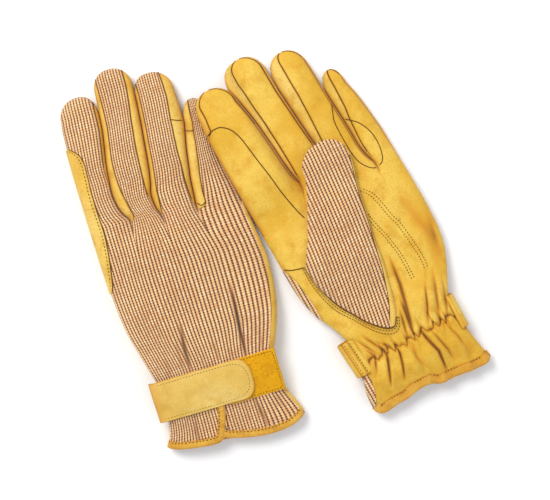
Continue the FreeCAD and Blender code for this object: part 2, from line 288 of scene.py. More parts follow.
HAND_CREASES = {
    ("right", "top"): [
        ([(26.5, 64), (25.5, 48), (24, 32), (23, 13)], 1.5, 3.0),
        ([(-13, 50), (-15, 34), (-15.5, 13)], 2.4, 1.9),
        ([(-19, 40), (-20, 26), (-19.5, 13)], 2.0, 0.9),
        ([(-30, 34), (-29, 14)], 2.2, 0.8),
        ([(4, 34), (5, 14)], 2.4, 0.9),
        ([(13, 30), (14, 14)], 2.0, 0.7),
        ([(37, 34), (35, 14)], 2.0, 0.9),
        ([(20, -13), (24, -38)], 2.2, 1.5),
        ([(12, -13), (14, -30)], 1.8, 0.8),
        ([(-22, -13), (-25, -36)], 2.2, 1.0),
        ([(34, -13), (41, -36)], 1.8, 0.9),
    ],
    ("left", "top"): [
        ([(-23, 11), (-23, 4), (-26, -3), (-31, -15)], 1.1, 3.2),
        ([(-14, 9), (-14.5, 2), (-17, -6), (-21, -17)], 1.1, 2.6),
        ([(5, 8), (7, -2), (9, -10), (7.5, -25)], 1.2, 3.6),
        ([(11, 7), (13, -2), (15, -12), (15.5, -22)], 1.1, 2.0),
        ([(-34, 16), (-30, 9), (-36, -4)], 1.2, 1.9),
        ([(-4, 6), (-6, -6), (-4, -16)], 1.4, 1.5),
        ([(22, 5), (25, -6), (27, -18)], 1.5, 1.6),
        ([(30, 5), (33, -6), (34, -16)], 1.4, 1.2),
        ([(-36, 24), (-28, 9)], 1.2, 1.8),
        ([(-31, 25), (-23, 9)], 1.2, 2.0),
        ([(-24, 16), (-17, 8)], 1.1, 1.6),
        ([(0, 28), (-5, 8)], 1.3, 2.0),
        ([(4, 34), (0, 8)], 1.4, 2.0),
        ([(12, 62), (9, 42), (4, 24), (1, 12)], 1.8, 2.6),
        ([(24, 36), (17, 20), (11, 8)], 1.5, 2.2),
        ([(29, 47), (20, 27), (13, 9)], 1.4, -1.3),
        ([(33, 40), (24, 18), (19, 6)], 1.9, 1.8),
        ([(36, 32), (29, 14), (24, 4)], 1.5, 1.5),
        ([(35, 22), (31, 8)], 1.3, 1.2),
        ([(38, 96), (44, 60), (38, 38)], 7.0, 1.1),
        ([(52, 84), (47, 64), (44, 46)], 3.0, 0.8),
    ],
}


def pleat_line(side, x):
    """The gathered wrist: where the zigzag of the elastic runs, and how far through a pleat x is."""
    phase = (x + 1.5 * np.sin(x * 0.31) + 0.9 * np.sin(x * 0.83)) / 6.6
    return 6.8 + 2.0 * np.sin(2 * np.pi * phase + 0.8) + 0.9 * np.sin(x * 0.19), phase


def gathered(side, face):
    """Whether this is the leather face, which the elastic gathers at the wrist."""
    return (side, face) in (("left", "top"), ("right", "bottom"))


def detail(side, face, x, y):
    """Wrinkles, folds and gathers, added to the smooth shape."""
    z = np.zeros(np.shape(x))
    for path, width, depth in HAND_CREASES.get((side, face), []):
        d, deep = crease(x, y, path, width, depth)
        z = z - deep * (np.exp(-(d / width) ** 2) - 0.38 * np.exp(-(d / (2.9 * width)) ** 2))
    seed = 11 if side == "right" else 23
    z = z + 0.45 * ripple(x, y, seed + (face == "top"), 34) + 0.16 * ripple(x, y, seed + 5, 13)
    if gathered(side, face):
        middle, phase = pleat_line(side, x)
        off = y - middle
        ridge = np.abs(np.sin(np.pi * phase)) ** 0.6
        reach = np.exp(-((np.abs(off) - 3.2) / np.where(off > 0, 5.0, 4.2)) ** 2)
        z = z + 2.1 * (ridge - 0.62) * reach - 1.9 * np.exp(-(off / 1.7) ** 2)
        z = z + smooth(2, 22, -off) * 1.3 * np.sin(2 * np.pi * (x + 2.0 * np.sin(x * 0.21 + 1)) / 17.0)
    return z


def shade_at(side, face, x, y):
    """Painted shade: how much folds and gathers darken the surface's colour, from 0 to 1."""
    shade = np.zeros(np.shape(x))
    for path, width, depth in HAND_CREASES.get((side, face), []):
        if depth > 0:
            d, deep = crease(x, y, path, width, depth)
            shade = shade + 0.40 * deep * (np.exp(-(d / (0.6 * width)) ** 2)
                                           + 0.16 * np.exp(-(d / (2.4 * width)) ** 2))
    if gathered(side, face):
        middle, phase = pleat_line(side, x)
        off = y - middle
        valley = 1 - np.abs(np.sin(np.pi * phase)) ** 0.6
        # painted shade in the valleys between the pleats, and a dark painted line in the elastic's groove
        shade = shade + 0.6 * valley ** 1.5 * np.exp(-(off / 5.5) ** 2) + 0.85 * np.exp(-(off / 0.8) ** 2)
    return unit(shade)


def whole_t(side, x, y):
    """Place across the whole hand, from -1 at the index side to 1 at the little-finger side."""
    low, high = GAPS[side][0](y), GAPS[side][4](y)
    return np.clip((2 * x - low - high) / (high - low), -1, 1)


def surface(side, face, x, y, finger, t, tip_share):
    """Outer surface of the glove, on its top or bottom face, blended from hand to finger."""
    half = half_height(side, x, y)
    middle = lift(side, x, y) + half
    hand_round = dome(whole_t(side, x, y), HAND_ROUND)
    index = FINGERS.index(finger)
    left_share, right_share = (smooth(crotch - 14, crotch, y) if crotch > 0 else smooth(100, 130, y)
                               for crotch in CROTCH[side][index:index + 2])
    share = np.where(t < 0, left_share, right_share)
    share = share + (0.5 * (left_share + right_share) - share) * (1 - np.abs(t)) ** 0.7
    finger_round = dome(t, FINGER_ROUND, tip_share)
    rounding = hand_round + (finger_round - hand_round) * share
    bumps = detail(side, face, x, y) * unit(rounding * 1.3) * unit(2.2 * (1 - tip_share))
    if face == "top":
        return middle + half * rounding + bumps
    flat = 1 - (1 - rounding) ** 1.8
    return np.maximum(middle - half * flat - 0.5 * bumps * (lift(side, x, y) > 1), 0.05)


# ---- meshes -----------------------------------------------------------------------------------
def grid_normals(points):
    """The unit normal of a grid at each of its points."""
    along = np.gradient(points, axis=0)
    across = np.gradient(points, axis=1)
    n = np.cross(across, along)
    length = np.linalg.norm(n, axis=-1, keepdims=True)
    return np.where(length > 1e-9, n / np.maximum(length, 1e-9), np.array([0, 0, 1.0]))


class Build:
    """Gathers grids of points in one glove's frame, and makes one mesh object of them."""

    def __init__(self, name, side, material, body, nodes=(), slot="grain_leather", bend=None):
        self.name, self.side, self.material, self.body = name, side, material, body
        self.nodes, self.slot_name, self.bend = nodes, slot, bend
        self.points, self.faces, self.uv, self.shade, self.count = [], [], [], [], 0

    def grid(self, points, uv=None, thick=0.0, down=False, shade=None):
        """One grid, or with thick a closed slab below its outer surface. down: the outside faces down."""
        rows, cols = points.shape[:2]
        if uv is None:
            uv = points[..., :2] / 10.0
        index = np.arange(rows * cols).reshape(rows, cols)
        quads = np.stack([index[:-1, :-1], index[:-1, 1:], index[1:, 1:], index[1:, :-1]], -1).reshape(-1, 4)
        if down:
            quads = quads[:, ::-1]
        sheets = [(points, quads)]
        if thick:
            normal = grid_normals(points) * (-1 if down else 1)
            sheets.append((points - normal * thick, quads[:, ::-1]))
        for k, (p, q) in enumerate(sheets):
            self.points.append(p.reshape(-1, 3))
            self.uv.append(uv.reshape(-1, 2))
            self.shade.append(np.zeros(rows * cols) if shade is None else np.asarray(shade, float).ravel())
            self.faces.append(q + self.count + k * rows * cols)
        if thick:
            ring = np.concatenate([index[0], index[1:, -1], index[-1, -2::-1], index[-2:0:-1, 0]])
            ahead = np.roll(ring, -1)
            inner = rows * cols
            rim = np.stack([ring, ring + inner, ahead + inner, ahead], -1)
            if down:
                rim = rim[:, ::-1]
            self.faces.append(rim + self.count)
        self.count += rows * cols * len(sheets)

    def finish(self):
        """Makes the object, merges its doubled points, hides the nodes it replaces, and gives it its body; a
        piece with a bend is instead fixed where it lies.
        """
        mesh = bpy.data.meshes.new(self.name)
        points = to_row(self.side, np.vstack(self.points))
        mesh.from_pydata([tuple(p) for p in points], [], [tuple(f) for f in np.vstack(self.faces)])
        index = np.empty(len(mesh.loops), np.int32)
        mesh.loops.foreach_get("vertex_index", index)
        uv = np.vstack(self.uv).astype(np.float32)[index]
        mesh.uv_layers.new(name="UVMap").data.foreach_set("uv", uv.ravel())
        # the painted shade values, which the leather and knit materials read
        shade = np.concatenate(self.shade).astype(np.float32)
        mesh.attributes.new("shade", "FLOAT", "POINT").data.foreach_set("value", shade)
        mesh.materials.append(self.material)
        ob = bpy.data.objects.new(self.name, mesh)
        bpy.context.scene.collection.objects.link(ob)
        clean = bmesh.new()
        clean.from_mesh(mesh)
        bmesh.ops.remove_doubles(clean, verts=clean.verts, dist=MERGE_M)
        bmesh.ops.dissolve_degenerate(clean, dist=1e-7, edges=clean.edges)
        bmesh.ops.recalc_face_normals(clean, faces=clean.faces)
        clean.to_mesh(mesh)
        clean.free()
        mesh.shade_smooth()
        mesh.set_sharp_from_angle(angle=math.radians(55))
        if self.nodes:
            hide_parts(*self.nodes)
        if self.bend:
            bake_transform(ob)
        else:
            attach(ob, self.body)


def piece(name, side, material, body, nodes=(), slot="grain_leather", bend=None):
    """An empty piece of one glove that moves with one of its bodies, unless it has a bend, when it stays
    where it lies.
    """
    stands_for = [side + "_" + node for node in nodes]
    return Build(side + "_" + name, side, M[material], side + "_" + body, stands_for, slot, bend)


# ---- fingers ----------------------------------------------------------------------------------
def finger_edges(side, finger, y):
    """Left and right silhouette of a finger at y, with a fine gap between neighbours."""
    index = FINGERS.index(finger)
    gap_left = FINGER_GAP * smooth(0, 3, y - CROTCH[side][index]) if index > 0 else 0.0
    gap_right = FINGER_GAP * smooth(0, 3, y - CROTCH[side][index + 1]) if index < 3 else 0.0
    return GAPS[side][index](y) + gap_left, GAPS[side][index + 1](y) - gap_right


def finger_points(side, face, finger, shares, step, tip_rows=14):
    """A grid over one finger. shares(y) gives the places t of its columns, from -1 to 1, at each y."""
    tip_start, tip_end, tip_x = TIPS[side][finger]
    grids = []
    for y in np.linspace(SPLIT_Y, tip_start, int(round((tip_start - SPLIT_Y) / step)) + 1):
        t = shares(y)
        left, right = finger_edges(side, finger, y)
        grids.append((t, left + (t + 1) / 2 * (right - left), np.full_like(t, y), np.zeros_like(t)))
    left, right = finger_edges(side, finger, tip_start)
    t = shares(tip_start)
    middle = (left + right) / 2
    seams = seam_shares(side, face, finger, tip_start)
    for a in np.linspace(0, math.pi / 2, tip_rows + 1)[1:]:
        warped = t
        if gathered(side, face):           # on the leather face the two seams draw together at the tip
            close = 1 - 0.88 * math.sin(a) ** 7
            warped = np.interp(t, [-1, *seams, 1], [-1, seams[0] * close, seams[1] * close, 1])
        reach = math.sin(a) * dome(warped, FINGER_ROUND)
        x = left + (warped + 1) / 2 * (right - left) + (tip_x - middle) * reach ** 2
        grids.append((warped, x, tip_start + (tip_end - tip_start) * reach, reach))
    t, x, y, tip = (np.stack([g[k] for g in grids]) for k in range(4))
    return x, y, surface(side, face, x, y, finger, t, tip), t, tip


def spread(low, high, count, ends="both"):
    """Places from low to high, closer together at the ends."""
    u = np.linspace(0, 1, count)
    if ends == "both":
        u = 0.5 - 0.5 * np.cos(np.pi * u)
    elif ends == "low":
        u = 1 - np.cos(0.5 * np.pi * u)
    elif ends == "high":
        u = np.sin(0.5 * np.pi * u)
    return low + (high - low) * u


def seam_shares(side, face, finger, y):
    """Places t of the two seams on a finger's face, between the side strips and the middle panel."""
    left, right = finger_edges(side, finger, min(y, TIPS[side][finger][0]))
    width = right - left
    if face == "top":
        a, b = (float(strip(y)) for strip in STRIPS[side][finger])
    else:
        a = b = 2.6 * float(smooth(SPLIT_Y, SPLIT_Y + 16, y))
    return -1 + 2 * a / width, 1 - 2 * b / width


def wale_at(side, finger, x, y):
    """Which rib of the knit a point lies on: the ribs crowd together where the side strips take room."""
    index = FINGERS.index(finger)
    low, high = GAPS[side][index](y), GAPS[side][index + 1](y)
    strip_low, strip_high = STRIPS[side][finger]
    if side == "right":
        held = smooth(96, 150, y)
        late = np.clip(y, 150, TIPS[side][finger][0])
        low = low + held * strip_low(late)
        high = high - held * strip_high(late)
    return sum(WALES[:index]) + WALES[index] * (x - low) / (high - low)


def finger_panel(build, side, face, finger, part, kind, step, columns, thick):
    """One panel of a finger: part is left, middle or right of the seams."""
    def shares(y):
        a, b = seam_shares(side, face, finger, y)
        low, high = {"left": (-1, a), "middle": (a, b), "right": (b, 1)}[part]
        return np.linspace(low, high, columns) if kind == "knit" else spread(low, high, columns)
    x, y, z, t, tip = finger_points(side, face, finger, shares, step)
    sign = facing_up(face)
    facing = dome(t, FINGER_ROUND, tip)
    seams = np.array([seam_shares(side, face, finger, float(v)) for v in y[:, x.shape[1] // 2]])
    strip_width = np.stack([seams[:, 0] + 1, 1 - seams[:, 1]], 1) * (x.max() - x.min()) / 2
    first, last = x[:, :1], x[:, -1:]
    groove = np.zeros_like(x)
    for edge, k in {"left": [(last, 0)], "middle": [(first, 0), (last, 1)], "right": [(first, 1)]}[part]:
        groove += np.exp(-((x - edge) / 0.7) ** 2) * smooth(0.3, 1.6, strip_width[:, k:k + 1])
    z = z - 0.6 * sign * groove * smooth(0, 0.35, facing)
    # painted shade: darker along the seam grooves, near the gaps between fingers, and where the finger's
    # sides turn down
    shade = shade_at(side, face, x, y) + 0.55 * groove
    index = FINGERS.index(finger)
    near_left, near_right = (smooth(crotch - 4, crotch + 4, y) for crotch in CROTCH[side][index:index + 2])
    near_gap = np.where(t < 0, near_left, near_right)
    shade = unit(shade + 0.42 * near_gap * np.abs(t) ** 6 + 0.5 * (1 - facing) ** 2.5)
    wale = wale_at(side, finger, x, np.minimum(y, TIPS[side][finger][0]))
    if kind == "knit":
        z = z + sign * knit_surface(wale, y / BEAD) * unit(3 * facing)
    build.grid(join(x, y, z), join(wale, y / BEAD) / 10.0, thick, face == "bottom", shade)


def bend_of(side, finger):
    """Bodies and the two points between which a finger's fabric bends."""
    if finger == "thumb":
        y, x, reach = THUMB_HINGE_Y, -16.0, 9.0
    else:
        index = FINGERS.index(finger)
        y, reach = HINGE_Y, 8.0
        x = float((GAPS[side][index](y) + GAPS[side][index + 1](y)) / 2)
    start, end = to_row(side, [(x, y - reach, 8.0), (x, y + reach, 8.0)])
    return side + "_hand", side + "_" + finger, tuple(start), tuple(end)


def build_finger(side, finger):
    """The knit back, the leather front and the side strips of one finger."""
    bend = bend_of(side, finger)
    knit_face, leather_face, fine, step = (("top", "bottom", 5, BEAD / 2.5) if side == "right" else
                                           ("bottom", "top", 4, BEAD / 2))
    knit = piece(finger + "_knit", side, "knit", finger, [finger + "_back"], "rib_knit", bend)
    finger_panel(knit, side, knit_face, finger, "middle", "knit", step,
                 WALES[FINGERS.index(finger)] * fine + 1, WALL)
    knit.finish()
    front = piece(finger + "_leather", side, "leather", finger, [finger + "_front"], bend=bend)
    finger_panel(front, side, leather_face, finger, "middle", "leather", 1.2, 31, WALL)
    front.finish()
    # the fourchettes belong to the hand in the CAD, and the middle finger's strips stand for all of them
    stood_for = [finger + "_sides"] + (["fourchettes"] if finger == "middle" else [])
    sides = piece(finger + "_side_strips", side, "strip", finger, stood_for, bend=bend)
    for face in ("top", "bottom"):
        for part in ("left", "right"):
            finger_panel(sides, side, face, finger, part, "leather", 1.2, 11, 0.0)
    sides.finish()


# ---- the hand ---------------------------------------------------------------------------------
# the lower edges of the glove's panels
HEM = {
    ("right", "top", "index_side"): line((-48, -29), (-44, -32), (-38, -33.8), (-25, -36), (-13, -37),
                                         (-8, -36), (-3, -31)),
    ("right", "top", "little_side"): line((-6, -34.2), (10, -39.3), (25, -41), (38, -40), (46, -37),
                                          (51, -33)),
    ("right", "bottom", ""): line((-48, -29), (-40, -33.5), (-10, -37), (10, -39), (25, -40.5), (38, -39),
                                  (51, -33)),
    ("left", "top", ""): line((-50, -23), (-46, -27), (-40, -28), (-20, -26.5), (-10, -25.5), (-2, -29),
                              (8, -31), (25, -33), (39, -32)),
    ("left", "bottom", ""): line((-50, -22), (-40, -27), (-20, -27), (-8, -27), (8, -30), (25, -32),
                                 (39, -31)),
}
# the two sides of the slit in the right-hand cuff
VENT_LEFT = line((-40, -9), (-36.5, -7.5), (-33, -5.0), (-28, -3.3), (-20, -1.7), (-13, -0.6), (20, -0.6))
VENT_RIGHT = line((-40, -4), (-33, -3.4), (-28, -2.4), (-20, -1.0), (-13, -0.2), (20, -0.2))
CUFF_TOP = -4.0


def hand_grid(side, face, finger, low, high, step, columns, x_low=None, x_high=None, knit=False):
    """A grid over the strip of the hand that runs down from one finger. low(x) is its lower edge."""
    index = FINGERS.index(finger)
    gap_left, gap_right = GAPS[side][index], GAPS[side][index + 1]
    left_line, right_line = x_low or gap_left, x_high or gap_right
    rows = int(round((high - float(low(np.array([0.0]))[0])) / step)) + 1
    v = np.linspace(0, 1, rows)[:, None]
    even = knit or 0 < index < 3
    s = np.linspace(0, 1, columns) if even else spread(0, 1, columns, "low" if index == 0 else "high")
    y = np.full((rows, columns), float(high))
    for _ in range(3):                     # the lower edge depends on x, and x on y
        bottom = low(left_line(y) + (right_line(y) - left_line(y)) * s)
        y = bottom + (high - bottom) * v
    x = left_line(y) + (right_line(y) - left_line(y)) * s
    t = 2 * (x - gap_left(y)) / (gap_right(y) - gap_left(y)) - 1
    z = surface(side, face, x, y, finger, np.clip(t, -1, 1), np.zeros_like(x))
    return x, y, z, wale_at(side, finger, x, y)


def add_knit(build, face, strip, raised=0.0):
    """Adds one strip of the hand's knit to a piece. Its ribs die away at the glove's edge."""
    x, y, z, wale = strip
    edge = unit(3 * dome(whole_t(build.side, x, y), HAND_ROUND))
    z = z + facing_up(face) * knit_surface(wale, y / BEAD) * edge
    build.grid(join(x, y, z + raised), join(wale, y / BEAD) / 10.0, WALL, face == "bottom",
               shade_at(build.side, face, x, y))


def above_cuff(x):
    """The lower edge of the right-hand knit, where the slit cuff begins."""
    return np.full_like(x, CUFF_TOP)


def build_hand_knit(side):
    """The knit back of the hand, and on the right-hand glove the slit cuff below it."""
    face, fine, step, low = (("top", 5, BEAD / 2.5, above_cuff) if side == "right" else
                             ("bottom", 3, BEAD / 2, HEM[("left", "bottom", "")]))
    knit = piece("back_knit", side, "knit", "hand", ["back_panel", "cuff_back"], "rib_knit")
    for index, finger in enumerate(FINGERS):
        add_knit(knit, face, hand_grid(side, face, finger, low, SPLIT_Y, step, WALES[index] * fine + 1,
                                       knit=True))
    knit.finish()
    if side == "left":
        return
    cuff = piece("cuff_knit", side, "knit", "hand", slot="rib_knit")
    for finger, x_low, x_high, hem in (
            ("index", None, None, "index_side"), ("middle", None, VENT_LEFT, "index_side"),
            ("ring", VENT_RIGHT, None, "little_side"), ("little", None, None, "little_side")):
        strip = hand_grid(side, face, finger, HEM[(side, face, hem)], CUFF_TOP + 0.5, step,
                          WALES[FINGERS.index(finger)] * fine + 1, x_low, x_high, knit=True)
        add_knit(cuff, face, strip, 0.7 * smooth(-20, -4, strip[0]) if hem == "index_side" else 0.0)
    cuff.finish()


def build_hand_leather(side):
    """The leather palm, from its hem to the fingers."""
    face = "bottom" if side == "right" else "top"
    leather = piece("palm_leather", side, "leather", "hand", ["palm_panel", "cuff_palm"])
    for finger in FINGERS:
        x, y, z, wale = hand_grid(side, face, finger, HEM[(side, face, "")], SPLIT_Y, 0.6, 48)
        leather.grid(join(x, y, z), None, 1.0, face == "bottom", shade_at(side, face, x, y))
    leather.finish()


# ---- materials --------------------------------------------------------------------------------
class Shader:
    """A Principled material, with short names for the nodes that these materials use."""

    def __init__(self, name):
        self.material = bpy.data.materials.new(name)
        self.material.use_nodes = True
        self.tree = self.material.node_tree
        self.tree.nodes.clear()
        self.main = self.node("BsdfPrincipled")
        self.node("OutputMaterial", {"Surface": self.main.outputs["BSDF"]})
        self.coords = self.node("TexCoord").outputs["Object"]

    def node(self, kind, inputs=None, **settings):
        n = self.tree.nodes.new("ShaderNode" + kind)
        for key, value in settings.items():
            setattr(n, key, value)
        for key, value in (inputs or {}).items():
            self.feed(n.inputs[key], value)
        return n

    def feed(self, socket, value):
        """Links a socket or sets its value. A colour is given without its alpha."""
        if isinstance(value, bpy.types.NodeSocket):
            self.tree.links.new(value, socket)
        else:
            socket.default_value = (*value, 1) if isinstance(value, tuple) else value

    def math(self, operation, *values):
        return self.node("Math", dict(enumerate(values)), operation=operation).outputs[0]

    def times(self, a, b):
        return self.math("MULTIPLY", a, b)

    def mix(self, share, a, b):
        return self.node("Mix", {0: share, 6: a, 7: b}, data_type="RGBA").outputs[2]

    def noise(self, scale, detail, roughness=0.5):
        return self.node("TexNoise", {"Vector": self.coords, "Scale": scale, "Detail": detail,
                                      "Roughness": roughness}).outputs["Fac"]

    def step(self, value, low, high):
        return self.node("MapRange", {"Value": value, "From Min": low, "From Max": high},
                         interpolation_type="SMOOTHSTEP", clamp=True).outputs[0]

    def stain(self, colour, other, value, low, high, most):
        """The colour, with some of another where a value is high."""
        return self.mix(self.times(self.step(value, low, high), most), colour, other)

    def folds(self, colour, warm_shade, dark, warm_shade_share=0.62):
        """Painted shade: folds, grooves and edges turn warmer, then dark, by the mesh's own shade values."""
        shade = self.node("Attribute", attribute_name="shade").outputs["Fac"]
        return self.stain(self.stain(colour, warm_shade, shade, 0.04, 0.55, warm_shade_share), dark, shade, 0.4, 1.0, 0.85)

    def finish(self, colour, roughness, specular, sheen, sheen_roughness=0.5, bump=None):
        """Fills in the shader and returns the material. bump is a height, a strength and a distance."""
        values = {"Base Color": colour, "Roughness": roughness, "Specular IOR Level": specular,
                  "Sheen Weight": sheen, "Sheen Roughness": sheen_roughness}
        if bump:
            bump = dict(zip(("Height", "Strength", "Distance"), bump))
            values["Normal"] = self.node("Bump", bump).outputs["Normal"]
        for key, value in values.items():
            self.feed(self.main.inputs[key], value)
        return self.material


def leather_material(name, light, middle, deep, rough=0.62):
    s = Shader(name)
    blotch, fine = s.noise(95.0, 5.0, 0.6), s.noise(900.0, 3.0, 0.65)
    pores = s.node("TexVoronoi", {"Vector": s.coords, "Scale": 1100.0}, feature="DISTANCE_TO_EDGE")
    colour = s.mix(s.step(s.noise(34.0, 4.0, 0.55), 0.38, 0.66), middle, light)
    colour = s.stain(colour, deep, blotch, 0.46, 0.74, 0.62)
    colour = s.stain(colour, deep, fine, 0.42, 0.68, 0.42)
    height = s.math("ADD", s.times(pores.outputs["Distance"], 0.6), s.times(fine, 0.7))
    roughness = s.node("MapRange", {"Value": blotch, "To Min": rough - 0.08,
                                    "To Max": rough + 0.12}).outputs[0]
    # painted shade: folds, grooves and edges turn amber, then dark brown, by the shade values
    return s.finish(s.folds(colour, (0.60, 0.245, 0.008), (0.15, 0.05, 0.004), 0.75), roughness, 0.3, 0.12,
                    bump=(height, 0.35, 0.0005))


def knit_material():
    s = Shader("rib_knit")
    split = s.node("SeparateXYZ", {"Vector": s.node("UVMap", uv_map="UVMap").outputs["UV"]})

    def off_middle(axis):
        """How far a place is from the middle of its rib or its stitch, from 0 to 1."""
        place = s.math("FRACT", s.times(split.outputs[axis], 10.0))
        return s.times(s.math("ABSOLUTE", s.math("SUBTRACT", place, 0.5)), 2.0)
    along = off_middle("Y")
    valley = s.step(off_middle("X"), 0.40, 0.76)
    yarn = s.mix(s.step(s.noise(60.0, 3.0), 0.4, 0.62), (0.76, 0.42, 0.18), (0.83, 0.50, 0.22))
    # paler flecks scattered by noise: painted highlight on the yarn
    yarn = s.stain(yarn, (0.95, 0.75, 0.47), s.noise(620.0, 2.0), 0.46, 0.66, 0.7)
    # painted shade: the yarn darkens towards the gaps between stitches
    yarn = s.stain(yarn, (0.47, 0.22, 0.09), along, 0.50, 0.95, 0.60)
    # painted shade: the valleys between ribs turn dark brown, near black between stitches
    dark = s.mix(s.step(along, 0.20, 0.58), (0.42, 0.20, 0.085), (0.06, 0.020, 0.006))
    height = s.math("ADD", s.math("SUBTRACT", 1.0, valley), s.times(s.noise(2400.0, 2.0), 0.4))
    # painted shade: folds turn warmer, then dark, by the shade values
    return s.finish(s.folds(s.mix(valley, yarn, dark), (0.36, 0.15, 0.05), (0.07, 0.025, 0.008)), 0.9, 0.15,
                    0.25, 0.6, (height, 0.5, 0.0004))


def plain_fabric(name, colour, dark, scale, strength=0.5, distance=0.0006, sheen=0.3):
    s = Shader(name)
    fine = s.noise(scale, 4.0, 0.7)
    base = s.stain(colour, dark, fine, 0.42, 0.68, 0.75)
    base = s.stain(base, dark, s.noise(scale / 14, 3.0), 0.45, 0.7, 0.35)
    return s.finish(base, 0.9, 0.2, sheen, bump=(fine, strength, distance))


M = {
    "knit": knit_material(),
    "leather": leather_material("grain_leather", (0.745, 0.50, 0.074), (0.665, 0.385, 0.027),
                                (0.56, 0.255, 0.006)),
    "strip": leather_material("side_leather", (0.77, 0.54, 0.13), (0.68, 0.42, 0.06), (0.50, 0.24, 0.015)),
    "binding": leather_material("edging_leather", (0.72, 0.42, 0.06), (0.63, 0.32, 0.025),
                                (0.44, 0.18, 0.01)),
    "strap": leather_material("strap_suede", (0.745, 0.535, 0.158), (0.685, 0.445, 0.095),
                              (0.56, 0.32, 0.04), 0.75),
    "loop": plain_fabric("loop_pile", (0.80, 0.40, 0.004), (0.60, 0.26, 0.002), 1100.0, 0.9, 0.0007, 0.08),
    "hook": plain_fabric("hook_tape", (0.62, 0.36, 0.06), (0.40, 0.20, 0.03), 1900.0),
    "elastic": plain_fabric("elastic_band", (0.66, 0.58, 0.42), (0.45, 0.38, 0.26), 900.0),
    "stitch": plain_fabric("stitch_thread", (0.15, 0.062, 0.012), (0.08, 0.032, 0.007), 2600.0, sheen=0.0),
    "seam": plain_fabric("seam_thread", (0.17, 0.07, 0.014), (0.09, 0.035, 0.008), 2600.0, sheen=0.0),
}


# ---- laying things on the gloves ----------------------------------------------------------------
def skin_at(side, face, x, y):
    """Height of the outer surface of the whole glove at any (x, y)."""
    x, y = np.broadcast_arrays(np.asarray(x, float), np.asarray(y, float))
    z = np.zeros(x.shape)
    for index, finger in enumerate(FINGERS):
        left_line, right_line = GAPS[side][index], GAPS[side][index + 1]
        low, high = left_line(y), right_line(y)
        tip_start, tip_end, tip_x = TIPS[side][finger]
        share = unit((y - tip_start) / (tip_end - tip_start))
        at_tip = (left_line(tip_start) + right_line(tip_start)) / 2
        t = np.clip((2 * (x - (tip_x - at_tip) * share ** 2) - low - high) / (high - low), -1, 1)
        inside = ((x >= low) | (index == 0)) & ((x < high) | (index == 3))
        z = np.where(inside, surface(side, face, x, y, finger, t, share), z)
    return z


def on_skin(side, face, path, raised=0.0):
    """The path's (x, y) points laid on the glove, raised outwards by some millimetres."""
    x, y = np.moveaxis(np.asarray(path, float), -1, 0)
    return join(x, y, skin_at(side, face, x, y) + facing_up(face) * raised)


def tube(build, points, radius, sides=7):
    """A cord along a line of points, drawn in to nothing at both ends."""
    points = np.asarray(points, float)
    along = np.gradient(points, axis=0)
    along /= np.linalg.norm(along, axis=1, keepdims=True) + 1e-9
    out = np.cross(along, np.array([0, 0, 1.0]))
    out /= np.linalg.norm(out, axis=1, keepdims=True) + 1e-9
    up = np.cross(out, along)
    angle = np.linspace(0, 2 * math.pi, sides + 1)
    size = np.full(len(points), radius)
    size[[0, -1]] = radius * 0.05
    ring = out[:, None] * np.cos(angle)[None, :, None] + up[:, None] * np.sin(angle)[None, :, None]
    build.grid(points[:, None] + ring * size[:, None, None])


def stitches(build, points, every=2.4, length=1.75, radius=0.34):
    """A row of separate stitches along a line of points."""
    run = np.concatenate([[0], np.cumsum(np.linalg.norm(np.diff(points, axis=0), axis=1))])
    count = max(int(run[-1] / every), 1)
    for k in range(count):
        ends = (run[-1] * (k + 0.5) / count) + np.linspace(-0.5, 0.5, 5) * length
        p = np.stack([np.interp(ends, run, points[:, c]) for c in range(3)], 1)
        p[:, 2] -= 0.35 * radius * np.linspace(-1, 1, 5) ** 2
        tube(build, p, radius, 6)


def slab(build, x, y, z, thick, sign=1, soft_edge=1.2, raised=0.0, rim=0.3, shade=0.0):
    """A layer of material of the given thickness on a surface z(x, y), rounded at its edges and darker
    towards them, as painted shade.
    """
    rows, cols = x.shape
    along = np.concatenate([[0], np.cumsum(np.hypot(np.diff(x[:, cols // 2]), np.diff(y[:, cols // 2])))])
    across = np.cumsum(np.hypot(np.diff(x, axis=1), np.diff(y, axis=1)), 1)
    across = np.concatenate([np.zeros((rows, 1)), across], 1)
    edge = np.minimum(np.minimum(along, along[-1] - along)[:, None],
                      np.minimum(across, across[:, -1:] - across))
    round_off = dome(1 - unit(edge / soft_edge), 2)
    base = join(x, y, z)
    top = base + grid_normals(base) * sign * (raised + thick * (0.35 + 0.65 * round_off))[..., None]
    # painted shade: darker towards the edges by rim, plus any shade given
    build.grid(top, None, thick, sign < 0, unit(rim * (1 - unit(edge / 2.2)) ** 1.5 + shade))


def slab_piece(name, side, material, body, nodes, slot, grid, thick, **shape):
    """A piece that is one slab. grid is its x, y and z."""
    build = piece(name, side, material, body, nodes, slot)
    slab(build, *grid, thick, **shape)
    build.finish()


def seam_piece(name, side, body, points, radius, nodes=(), bend=None):
    """A piece that is one seam line."""
    build = piece(name, side, "seam", body, nodes, bend=bend)
    tube(build, points, radius)
    build.finish()


def stitch_piece(name, side, body, rows, every=2.0, length=1.4, radius=0.26, bend=None):
    """A piece that is some rows of stitches."""
    build = piece(name, side, "stitch", body, bend=bend)
    for points in rows:
        stitches(build, points, every, length, radius)
    build.finish()


# ---- edging, straps and overlays ----------------------------------------------------------------
# the section of the folded edging: how far in from the edge, and how far out from the surface
BINDING_SECTION = ((4.6, 0.1), (4.5, 0.62), (3.9, 0.9), (2.6, 1.0), (1.2, 0.98), (0.1, 0.75), (-0.5, 0.1),
                   (-0.6, -0.7), (-0.2, -1.5), (1.0, -1.95), (2.6, -2.0), (3.9, -1.9), (4.6, -1.5))


def to_left(path):
    """The direction to the left of a path, at each of its points."""
    along = np.gradient(path, axis=0)
    along /= np.linalg.norm(along, axis=1, keepdims=True)
    return np.stack([-along[:, 1], along[:, 0]], 1)


def inset(path, distance):
    """A smooth path moved to its left by a distance."""
    path = curve_through(path)
    return path + to_left(path) * distance


